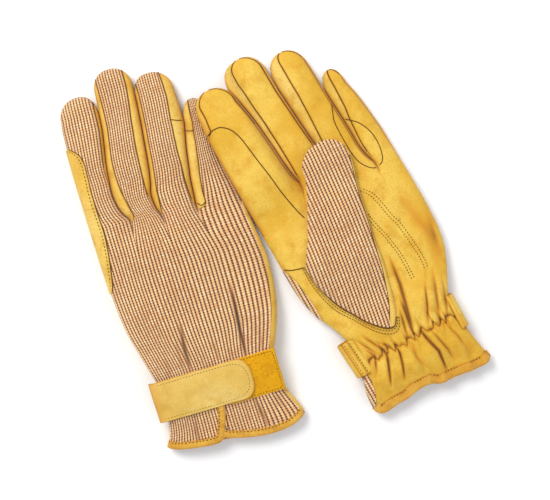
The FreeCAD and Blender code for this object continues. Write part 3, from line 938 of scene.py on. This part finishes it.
def binding(build, face, path, raised=0.0, width=1.0, wave=0.0):
    """Leather folded over the edge of one wall, along a path of (x, y) points."""
    path = curve_through(path)
    inside = to_left(path)
    run = np.arange(len(path))
    pucker = 0.12 * np.sin(run * 1.7) + 0.1 * np.sin(run * 0.61 + 1)
    pucker = pucker + wave * np.sin(run * 0.46 + 1.4 * np.sin(run * 0.13))
    rows = []
    for d, off in BINDING_SECTION:
        x, y = (path + inside * (d * width)).T
        z = skin_at(build.side, face, x, y) + facing_up(face) * (off + raised + (pucker if off > 0 else 0))
        rows.append(join(x, y, np.maximum(z, 0.03)))
    grid = np.stack(rows + rows[:1], 0)
    # painted shade: darkest at the inner edge where the edging meets the glove, clear over its top, darker
    # round the rolled edge and below, and darker in the dips of the pucker
    painted_edge_shade = np.interp(np.arange(len(grid)), [0, 1, 2.2, 4, 6, 7, len(grid)],
                     [0.9, 0.6, 0.08, 0.0, 0.3, 0.35, 0.3])
    build.grid(grid, down=True, shade=painted_edge_shade[:, None] + 0.22 * unit(-pucker * 4)[None, :])


def build_hems(side):
    """The leather edging of the glove's hem, and its stitches."""
    hem = piece("hem_edging", side, "binding", "hand", ["hem_binding"], "binding_leather")
    if side == "right":
        left_flap = [(-46.6, -30.2), (-44, -32), (-38, -33.8), (-25, -36), (-14, -37), (-9.4, -36.2),
                     (-7.2, -33), (-4.8, -27.5), (-2.4, -20), (-1, -12)]
        right_flap = [(-7.5, -34), (-3, -36), (10, -39.3), (25, -41), (38, -40), (46, -37), (49.8, -34.4)]
        binding(hem, "top", left_flap, raised=0.9)
        binding(hem, "top", right_flap)
        binding(hem, "bottom", [(-46.6, -30.2), (-40, -33.5), (-10, -37), (10, -39), (25, -40.5), (38, -39),
                                (49.8, -34.4)])
        rows, size = [on_skin(side, "top", inset(left_flap, 3.7), 1.95),
                      on_skin(side, "top", inset(right_flap, 3.7), 1.05)], (2.4, 1.6, 0.3)
    else:
        edge = [(-48.8, -22.3), (-47.5, -25.5), (-44, -27.6), (-38, -28), (-32, -27), (-25, -27.4),
                (-17, -26), (-10, -25.6), (-5, -27.3), (0, -29.6), (8, -30.4), (18, -32), (25, -33),
                (33, -33.4), (38.6, -31.4)]
        binding(hem, "top", edge, width=1.3, wave=0.5)
        binding(hem, "bottom", [(-48.8, -22.3), (-44, -27), (-30, -27), (-10, -26.5), (8, -30), (25, -32),
                                (38.6, -31.4)])
        rows, size = [on_skin(side, "top", inset(edge, 5.2), 0.95)], (2.2, 1.4, 0.24)
    hem.finish()
    stitch_piece("hem_stitches", side, "hand", rows, *size)


def strap_outline(low, high, x_start, x_round, rows, cols):
    """Grid of a band from x_start to a rounded end at x_round; rows run along y."""
    v = np.linspace(-1, 1, rows)[:, None]
    u = np.linspace(0, 1, cols)[None, :]
    middle, radius = (low + high) / 2, (high - low) / 2
    end = x_round - radius * 0.62 * (1 - dome(v, 2.6))
    return x_start + (end - x_start) * u, middle + radius * v + 0 * u


def loop_height(x, y):
    """Height of the underside of the right-hand loop patch."""
    drop = 4.5 * (1 - dome(unit((x - 36) / 8.2), 2))
    return lift("right", x, y) + 2 * half_height("right", x, y) - drop + 0.1 * ripple(x, y, 5, 9)


def strap_height(x, y):
    """Height of the underside of the right-hand strap."""
    smooth_top = lift("right", x, y) + 2 * half_height("right", x, y)
    drop = 8.5 * (1 - dome(unit((-34 - x) / 12.4), 2.2))
    return smooth_top - drop + 1.0 + 0.5 * np.sin((x + 8) / 13) + 0.25 * ripple(x, y, 77, 16)


def build_right_strap():
    """The right-hand strap, closed over the back of the wrist, and the two halves of its fastening."""
    side, low, high = "right", -13.2, 14.6
    x, y = strap_outline(low, high, -45.4, 23.5, 41, 90)
    # painted shade darkens the strap's left end, where it curves down
    slab_piece("closing_strap", side, "strap", "strap", ["strap"], "strap_leather",
               (x, y, strap_height(x, y)), 1.7, soft_edge=1.6, raised=0.2, rim=0.42,
               shade=0.34 * (1 - smooth(-45.4, -33, x)))
    rim = curve_through([(-43.6, low + 2.2), (-20, low + 2.0), (8, low + 2.1), (15, low + 3.4),
                         (19.3, low + 7), (20.6, (low + high) / 2), (19.3, high - 7), (15, high - 3.4),
                         (8, high - 2.1), (-20, high - 2.0), (-43.6, high - 2.2)])
    stitch_piece("strap_stitches", side, "strap", [join(*rim.T, strap_height(*rim.T) + 1.85)])
    x, y = np.meshgrid(np.linspace(2, 20, 50), np.linspace(low + 3, high - 3, 60))
    bumps = 0.22 * (np.sin(x * 3.6) * np.sin(y * 3.6))
    slab_piece("hook_tape", side, "hook", "strap", ["hook_patch"], "hook_tape",
               (x, y, strap_height(x, y) - 0.75 + bumps), 0.5, soft_edge=0.8)
    x, y = np.meshgrid(np.linspace(4, 42.3, 110), np.linspace(-14.4, 14.6, 84))
    fuzz = np.random.default_rng(3).normal(0, 0.09, x.shape)
    slab_piece("loop_patch_pile", side, "loop", "hand", ["loop_patch"], "loop_pile",
               (x, y, loop_height(x, y) + fuzz), 0.9, raised=0.1, rim=0.5)
    rim = curve_through([(14, -12.9), (30, -12.9), (39, -12.8), (40.6, -11.6), (40.8, 0), (40.6, 11.8),
                         (39, 13.0), (30, 13.1), (14, 13.1)])
    stitch_piece("loop_patch_stitches", side, "hand", [join(*rim.T, loop_height(*rim.T) + 1.1)])
    x, y = np.meshgrid(np.linspace(-43.6, -20, 40), np.linspace(low + 1, high - 1, 40))
    z = np.maximum(lift(side, x, y), 0.8) + 5.6 * (1 - dome(unit((-34 - x) / 12), 2.4))
    slab_piece("strap_seat", side, "strap", "hand", ["strap_anchor"], "strap_leather", (x, y, z), 1.2,
               sign=-1, raised=0.1)


def band(path, y_low, y_high, rows, lean):
    """Grid of a strip: a line of (x, z) points, its inner side, swept along y and leaning in x."""
    path = curve_through(path, 0.3)
    y = np.linspace(y_low, y_high, rows)[:, None]
    x = path[None, :, 0] + lean * (y - (y_low + y_high) / 2)
    return x, y + 0 * x, path[None, :, 1] + 0 * x


def build_left_strap():
    """The left-hand strap, which lies under the wrist, with its seat and the end of its loop patch."""
    side = "left"
    x, y, z = band([(-30, 4.3), (-38, 3.9), (-43, 4.6), (-46.2, 7.2), (-47.4, 11.0), (-46.2, 14.4),
                    (-43, 16.2), (-37.0, 16.6)], 0.6, 26.6, 60, -0.06)
    fold = (x + 0.06 * (y - 13) + 48.4) / 11.2 * 3
    ridge = np.abs(np.sin(np.pi * fold)) * (z > 11)
    # painted shade in the grooves between the fold's ridges
    grooves = unit(1 - ridge / 0.34) * (z > 11) * (np.abs(fold - 1.7) < 1.2)
    slab_piece("strap_seat", side, "leather", "hand", ["strap_anchor"], "strap_leather",
               (x, y, z + (0.9 * ridge ** 0.6 - 0.4) * smooth(10, 14, z)), 1.4, soft_edge=1.4, rim=0.45,
               shade=0.75 * grooves)
    rows = []
    for place in (-43.9, -40.2):
        ys = np.linspace(2, 25.5, 24)
        height = float(np.interp(place, [-46.2, -43, -37], [14.4, 16.2, 16.6])) + 2.0
        rows.append(join(place - 0.06 * (ys - 13), ys, height))
    stitch_piece("strap_seat_stitches", side, "hand", rows, 2.1, 1.5)
    x, y = strap_outline(-3.2, 23.2, -45.0, 30.0, 37, 90)
    rise = 2.4 * smooth(-38, -46, x)
    slab_piece("closing_strap", side, "strap", "strap", ["strap"], "strap_leather",
               (x, y, 2.3 + rise + 0.12 * ripple(x, y, 78, 18)), 1.6, sign=-1, soft_edge=1.4)
    rim = curve_through([(-42, -1.1), (0, -1.1), (16, -0.8), (22.5, 1.4), (26.6, 5), (27.6, 10), (26.6, 15),
                         (22.5, 18.6), (16, 20.8), (0, 21.1), (-42, 21.1)])
    stitch_piece("strap_stitches", side, "strap", [join(*rim.T, 0.72 + 2.4 * smooth(-38, -46, rim[:, 0]))])
    x, y = np.meshgrid(np.linspace(11, 25, 44), np.linspace(0, 20, 60))
    slab_piece("hook_tape", side, "hook", "strap", ["hook_patch"], "hook_tape",
               (x, y, 2.3 + 0.2 * np.sin(x * 3.6) * np.sin(y * 3.6)), 0.5, soft_edge=0.8)
    x, y = np.meshgrid(np.linspace(9, 33, 70), np.linspace(-3, 20, 66))
    fuzz = np.random.default_rng(4).normal(0, 0.05, x.shape)
    slab_piece("loop_patch_pile", side, "loop", "hand", ["loop_patch"], "loop_pile", (x, y, 4.7 + fuzz), 0.9,
               sign=-1, raised=0.1)
    x, y, z = band([(30.4, 16.8), (33.2, 16.0), (35.0, 13.0), (35.2, 8.5), (33.4, 5.2), (28, 4.3)], -5, 19.5,
                   46, 0.03)
    # a groove along the stitch line, darkened with painted shade
    groove = 0.7 * np.exp(-((x - 0.03 * (y - 7) - 32.6) / 0.35) ** 2) * (z > 12)
    slab_piece("loop_patch_end", side, "leather", "hand", [], "strap_leather", (x, y, z - 0.3 * groove), 1.3,
               rim=0.5, shade=groove)


def side_overlay(build, inner_x, y_low, y_high, edge, sign_x=1, thick=0.8):
    """A panel round the glove's edge: from inner_x on the top face, round the edge, to the bottom face."""
    under, raised = 9.0, 0.15          # its reach on the bottom face, and how far it stands off the glove
    rows = int(y_high - y_low) + 1
    y = np.linspace(y_low, y_high, rows)[:, None]
    u = np.linspace(0, math.pi / 2, 15)[None, :]
    outline, inner = edge(y), inner_x(y)
    x_top = inner + (outline - inner) * np.sin(u)
    x_low = outline + sign_x * under * (1 - np.cos(u[:, 1:])) * np.minimum(1, np.abs(inner - outline) / 3)
    x = np.concatenate([x_top, x_low], 1)
    z = np.concatenate([skin_at(build.side, "top", x_top, y), skin_at(build.side, "bottom", x_low, y)], 1)
    if sign_x > 0:
        x, z = x[:, ::-1], z[:, ::-1]
    points = join(x, y, z)
    edge_in = np.minimum(np.arange(rows), np.arange(rows)[::-1])[:, None] / 1.5
    taper = dome(1 - unit(edge_in), 2)
    build.grid(points + grid_normals(points) * (raised + thick * (0.4 + 0.6 * taper))[..., None], thick=thick)


def build_overlays():
    """The side panels, the knit that shows at the left glove's edge, the palm patches and the elastics."""
    index_bend = bend_of("right", "index")
    panel = piece("index_side_leather", "right", "strip", "hand", ["index_side_panel"], bend=index_bend)
    inner = line((79, -52.6), (85, -50), (95, -48), (110, -46), (120, -45.4), (140, -46), (150, -46),
                 (160, -45.5), (168, -45.2), (174, -46.2), (178, -48.6), (181, -51.6), (183, -54))
    side_overlay(panel, inner, 80, 182.6, GAPS["right"][0])
    panel.finish()
    ys = np.linspace(81, 182, 100)
    seam_piece("index_side_seam", "right", "hand", on_skin("right", "top", join(inner(ys) + 0.25, ys), 0.25),
               0.42, bend=index_bend)
    row = on_skin("right", "top", join(inner(ys) - 1.6, ys), 1.2)
    stitch_piece("index_side_stitches", "right", "hand", [row], 2.4, 1.6, 0.28, bend=index_bend)
    panel = piece("little_side_leather", "right", "strip", "hand")
    inner = line((-33, 48.4), (-26, 45), (-16, 41), (0, 38.4), (14, 39.4), (26, 43.6), (42, 48.8), (62, 52),
                 (76, 52.6), (92, 51.4), (110, 49.3), (121, 49.9))
    side_overlay(panel, inner, -33, 121, GAPS["right"][4], -1, 0.6)
    panel.finish()
    knit_edge("knit_edge", 47, 89, 5.4)
    knit_edge("cuff_knit_edge", -22, 2, 6.0)
    for side, face in (("right", "bottom"), ("left", "top")):
        build_palm_rows(side, face)
        x, y = np.meshgrid(np.linspace(-33, 31, 130), np.linspace(1.5, 8.5, 10))
        slab_piece("wrist_elastic_band", side, "elastic", "hand", ["wrist_elastic"], "elastic",
                   (x, y, skin_at(side, face, x, y) - facing_up(face) * 3.4), 0.6, sign=facing_up(face))


def knit_edge(name, low_y, high_y, wide):
    """Knit of the back that shows past the leather at the left glove's edge."""
    sliver = piece(name, "left", "knit", "hand", slot="rib_knit")
    y = np.linspace(low_y, high_y, int((high_y - low_y) * 1.8))[:, None]
    reach = wide * np.sin(np.pi * unit((y - low_y + 1) / (high_y - low_y + 2))) ** 0.7
    x = GAPS["left"][0](y) + reach * (1 - np.cos(np.linspace(0, 1, 18)[None, :] * math.pi / 2))
    z = skin_at("left", "top", x, y) + 0.45 + knit_surface(x / 2.4, y / BEAD)
    sliver.grid(join(x - 0.3, y, z), join(x / 2.4, y / BEAD) / 10.0)
    sliver.finish()


# the two double rows of stitches on a palm, and how far apart the lines of each are
PALM_ROWS = (
    (((12, 95), (13.5, 85), (16, 75), (17, 68), (18, 60), (18, 50), (17.5, 41)), 2.0),
    (((17, 111), (22, 103), (25.5, 85), (27.5, 78), (29, 62), (29.5, 50), (28.5, 43)), 2.5),
)


def build_palm_rows(side, face):
    """The patch inside the palm, and the rows of stitches that hold it."""
    ys = np.linspace(42, 104, 80)[:, None]
    left, right = (line(*[(y, x) for x, y in reversed(row)])(ys) for row, apart in PALM_ROWS)
    left, right = left + 0.6, right + 1.6
    x = left + (right - left) * np.linspace(0, 1, 26)[None, :]
    y = np.broadcast_to(ys, x.shape)
    slab_piece("palm_patch_leather", side, "leather", "hand", ["palm_patch"], "grain_leather",
               (x, y, skin_at(side, face, x, y)), 0.5, sign=facing_up(face), raised=-0.45)
    stitch_piece("palm_stitches", side, "hand", [
        on_skin(side, face, curve_through(row) + np.array([shift, 0.0]), 0.1)
        for row, apart in PALM_ROWS for shift in (0, apart)], radius=0.27)


# ---- seams of the fingers -----------------------------------------------------------------------
CROSS_SEAMS = {
    ("right", "ring"): [[(18.6, 182.6), (22.5, 181), (26.6, 180)]],
    ("right", "little"): [[(26.2, 173), (29, 171.6), (32.2, 171)], [(20, 123.4), (23, 120.6), (26.6, 122.6)]],
}


def build_finger_seams(side, finger):
    """Dark seam lines where the side strips meet the finger's front and back."""
    seam = piece(finger + "_seams", side, "seam", finger, bend=bend_of(side, finger))
    index = FINGERS.index(finger)
    for face in ("top", "bottom"):
        for which in (0, 1):
            def shares(y):
                return np.array([seam_shares(side, face, finger, y)[which], 0.0])
            points = join(*finger_points(side, face, finger, shares, 1.0)[:3])[:, 0]
            edges = finger_edges(side, finger, np.minimum(points[:, 1], TIPS[side][finger][0]))
            width = np.abs(points[:, 0] - edges[which])
            keep = (width > 1.5) & (points[:, 1] > CROTCH[side][index + which])
            if keep.sum() >= 6:
                points[:, 2] -= 0.25 * facing_up(face)
                tube(seam, points[keep], 0.36)
    for cross in CROSS_SEAMS.get((side, finger), []):
        tube(seam, on_skin(side, "top", curve_through(cross), 0.05), 0.34)
    seam.finish()


def build_left_seams():
    """The seams across the left-hand palm and index finger, and the oval at the ring and little fingers."""
    curve = curve_through([(-54.5, 193.5), (-50, 195), (-46, 195), (-43, 194), (-39.5, 191), (-37, 187),
                           (-35, 180), (-34, 172), (-32.5, 160), (-31, 150), (-30, 140), (-28.5, 130),
                           (-26.5, 120), (-24.5, 113)])
    seam_piece("index_panel_seam", "left", "index", on_skin("left", "top", curve), 0.42, ["index_side_panel"],
               bend_of("left", "index"))
    side_seam = curve_through([(-54.6, 90), (-50, 87), (-41, 84)])
    seam_piece("palm_side_seam", "left", "hand", on_skin("left", "top", side_seam), 0.42)
    oval = curve_through([(30.5, 172), (27.5, 165), (25.5, 158), (25, 140), (26, 130), (29, 123.5),
                          (33, 119.5), (37, 119), (41, 121), (43.5, 127), (44.5, 135), (43.5, 143),
                          (40, 151), (36, 155.5), (33, 158.5)])
    past_gap = oval[:, 0] - GAPS["left"][3](oval[:, 1])
    for finger, path in (("ring", oval[past_gap < -0.6]), ("little", oval[past_gap > 0.6])):
        seam_piece(finger + "_oval_seam", "left", finger, on_skin("left", "top", path), 0.38,
                   bend=bend_of("left", finger))


# ---- the thumb ----------------------------------------------------------------------------------
THUMB_LEFT = line((20, -11), (22.5, -15), (27.5, -20), (34, -25), (41, -29), (48, -33), (55, -36),
                  (62, -38.5), (68, -40), (75, -41), (82, -41.2), (88, -38.3), (100, -30), (112, -23.5),
                  (121, -18), (130, -13.8), (136, -11))
THUMB_RIGHT = line((20, -8.5), (22, -6.5), (27, -3), (33, -0.5), (42, 2), (50, 4), (57, 6), (65, 7.5),
                   (72, 8.5), (80, 9.5), (90, 12), (105, 15), (113, 17), (120, 19), (127, 21.5), (136, 23.8))
THUMB_KNIT_RIGHT = line((20, -11), (24.5, -9.8), (33, -5.4), (40, -2.4), (48, 0.4), (58, 3.4), (70, 6.2),
                        (78, 8), (90, 11), (105, 14), (120, 18), (136, 22.9))
THUMB_TIP = (136.0, 152.8, 8.0)
THUMB_FOOT = 20.5
THUMB_TURN = math.radians(13)


def thumb_columns(low, high, columns, step):
    """A grid over the thumb between two lines, as x, y, the place across and the share of the tip."""
    tip_start, tip_end, tip_x = THUMB_TIP
    s = np.linspace(0, 1, columns)
    out = []
    for y in np.linspace(THUMB_FOOT, tip_start, int((tip_start - THUMB_FOOT) / step) + 1):
        a, b = THUMB_LEFT(y), THUMB_RIGHT(y)
        x = low(y) + (high(y) - low(y)) * s
        out.append((x, np.full_like(x, y), 2 * (x - a) / (b - a) - 1, np.zeros_like(x)))
    t = np.clip(2 * (x - a) / (b - a) - 1, -1, 1)
    for angle in np.linspace(0, math.pi / 2, 22)[1:]:
        reach = math.sin(angle) * dome(t, FINGER_ROUND)
        out.append((x + (tip_x - (a + b) / 2) * reach ** 2, tip_start + (tip_end - tip_start) * reach, t,
                    reach))
    return [np.stack([o[k] for o in out]) for k in range(4)]


def thumb_point(side, x, y, t, reach, outer, extra=0.0):
    """Places a point of the thumb. outer: on the knit side, which faces away from the palm."""
    rounding = dome(t, THUMB_ROUND, reach)
    relief = extra * unit(3 * rounding)
    if side == "left":
        base = lift(side, x, y) + 2 * half_height(side, x, y) + 0.5 + 0.6 * smooth(20, 60, y)
        height = 1.6 + 5.8 * smooth(22, 84, y)
        edge = 0.46 * height * smooth(60, 96, y)
        bumps = 0.55 * ripple(x, y, 41, 30) * unit(rounding * 1.2)
        z = (base + edge + (height - edge) * rounding + bumps + relief if outer else
             base + edge * (1 - rounding))
        return join(x, y, z)
    middle, half = 3.9, 3.4            # the right thumb lies turned about its joint, with its knit below
    z = middle - half * rounding - relief if outer else middle + half * rounding
    c, s = math.cos(THUMB_TURN), math.sin(THUMB_TURN)
    joint_x, joint_y = ANCHOR["right"][1]
    dx, dy = x - joint_x, y - joint_y
    return join(joint_x + c * dx - s * dy, joint_y + s * dx + c * dy, np.maximum(z, 0.04))


def build_thumb(side):
    """The thumb's knit, its leather and the strip between them."""
    left = side == "left"
    bend = bend_of(side, "thumb") if left else None
    knit = piece("thumb_knit", side, "knit", "thumb", ["thumb_back", "thumb_base"], "rib_knit", bend)
    x, y, t, reach = thumb_columns(THUMB_LEFT, THUMB_KNIT_RIGHT, 150 if left else 90, 0.5 if left else 0.9)
    wale = (x - 0.165 * (y - 60) + 0.00045 * (y - 60) ** 2) / 2.4
    knit.grid(thumb_point(side, x, y, t, reach, True, knit_surface(wale, y / BEAD)),
              join(wale, y / BEAD) / 10.0, 0.7, not left)
    knit.finish()
    front = piece("thumb_leather", side, "leather", "thumb", ["thumb_front"], bend=bend)
    front.grid(thumb_point(side, *thumb_columns(THUMB_LEFT, THUMB_RIGHT, 40, 1.5), False), down=left)
    front.finish()
    strip = piece("thumb_edge_leather", side, "strip", "thumb", ["thumb_strip"], bend=bend)
    bulge = 0.5 * np.sin(np.linspace(0, math.pi, 9))[None, :]
    strip.grid(thumb_point(side, *thumb_columns(THUMB_KNIT_RIGHT, THUMB_RIGHT, 9, 1.0), True, bulge),
               down=not left)
    strip.finish()
    if left:
        ys = np.linspace(24, 136, 110)
        a, b, xs = THUMB_LEFT(ys), THUMB_RIGHT(ys), THUMB_KNIT_RIGHT(ys)
        t = 2 * (xs - a) / (b - a) - 1
        seam_piece("thumb_seam", side, "thumb", thumb_point(side, xs, ys, t, 0 * xs, True), 0.45, bend=bend)
        build_thumb_band()


def build_thumb_band():
    """The leather band, stitched twice, that sews the left thumb's base to the palm."""
    outer = curve_through([(-43.5, 84), (-44, 75), (-43, 65), (-41, 55), (-37.5, 46), (-32, 38), (-26, 28),
                           (-20, 20), (-14, 15.5), (-9, 15), (-5, 18), (-2.5, 24)])
    inner = curve_through([(-40.5, 84), (-40.4, 75), (-39.4, 66), (-36.8, 56.5), (-33.4, 48), (-29.2, 41),
                           (-24.5, 33), (-19, 26), (-14, 21.4), (-10, 20), (-7.4, 21.4), (-4.5, 25.5)])
    share = np.linspace(0, 1, len(outer))
    inner = np.stack([np.interp(share, np.linspace(0, 1, len(inner)), inner[:, k]) for k in (0, 1)], 1)
    u = np.linspace(0, 1, 12)[None, :, None]
    x, y = np.moveaxis(outer[:, None] * (1 - u) + inner[:, None] * u, -1, 0)
    slab_piece("thumb_band", "left", "strip", "hand", [], "grain_leather",
               (x, y, skin_at("left", "top", x, y)), 0.9, soft_edge=1.4, raised=0.1)
    stitch_piece("thumb_band_stitches", "left", "hand", [
        on_skin("left", "top", outer * (1 - place) + inner * place, 1.1) for place in (0.22, 0.62)],
        radius=0.27)
    seam_piece("thumb_base_seam", "left", "hand", on_skin("left", "top", inner, 0.9), 0.5)


# ---- everything, in its order -------------------------------------------------------------------
for side in ("right", "left"):
    for finger in FINGERS:
        build_finger(side, finger)
        build_finger_seams(side, finger)
    build_hand_knit(side)
    build_hand_leather(side)
    build_hems(side)
    build_thumb(side)
build_right_strap()
build_left_strap()
build_left_seams()
build_overlays()

# ---- floor, light and camera ------------------------------------------------------------------
PHOTO_UP = math.radians(23.25)     # the view's upward direction, clockwise from +Y
VIEW_WIDTH = 0.374                 # metres across the view, at the height of the gloves
LENS = 85
SENSOR = 36
CENTRE = Vector((0.0067, -0.01256, 0.0))
FLOOR_HALF = 3.0


def add_floor():
    s = FLOOR_HALF
    mesh = bpy.data.meshes.new("floor")
    mesh.from_pydata([(-s, -s, 0), (s, -s, 0), (s, s, 0), (-s, s, 0)], [], [(0, 1, 2, 3)])
    ob = bpy.data.objects.new("floor", mesh)
    bpy.context.scene.collection.objects.link(ob)
    mesh.materials.append(Shader("floor_white").finish((0.9, 0.9, 0.9), 0.9, 0.5, 0.0))


def add_light(name, right, up, distance, size, energy, colour):
    """A lamp that looks at the gloves from a direction along the view's right, up and towards the viewer."""
    data = bpy.data.lights.new(name, "AREA")
    data.size = size
    data.energy = energy
    data.color = colour
    ob = bpy.data.objects.new(name, data)
    bpy.context.scene.collection.objects.link(ob)
    c, s = math.cos(PHOTO_UP), math.sin(PHOTO_UP)
    ob.location = Vector((right * c + up * s, -right * s + up * c, 1.5)).normalized() * distance
    ob.rotation_euler = (-ob.location).to_track_quat("-Z", "Y").to_euler()


def add_camera():
    data = bpy.data.cameras.new("camera")
    data.lens = LENS
    data.sensor_width = SENSOR
    data.clip_end = 20
    ob = bpy.data.objects.new("camera", data)
    bpy.context.scene.collection.objects.link(ob)
    ob.location = CENTRE + Vector((0, 0, VIEW_WIDTH * LENS / SENSOR + 0.012))
    ob.rotation_euler = (0, 0, -PHOTO_UP)
    bpy.context.scene.camera = ob


add_floor()
add_light("key", -0.72, 0.72, 1.6, 0.7, 17.5, (1.0, 0.975, 0.94))
add_light("fill", 0.8, -0.2, 2.0, 1.6, 6, (0.92, 0.95, 1.0))
world = bpy.data.worlds.new("studio")
bpy.context.scene.world = world
world.use_nodes = True
world.node_tree.nodes["Background"].inputs["Color"].default_value = (0.95, 0.97, 1.0, 1)
world.node_tree.nodes["Background"].inputs["Strength"].default_value = 0.70
add_camera()
bpy.context.scene.view_settings.view_transform = "Standard"
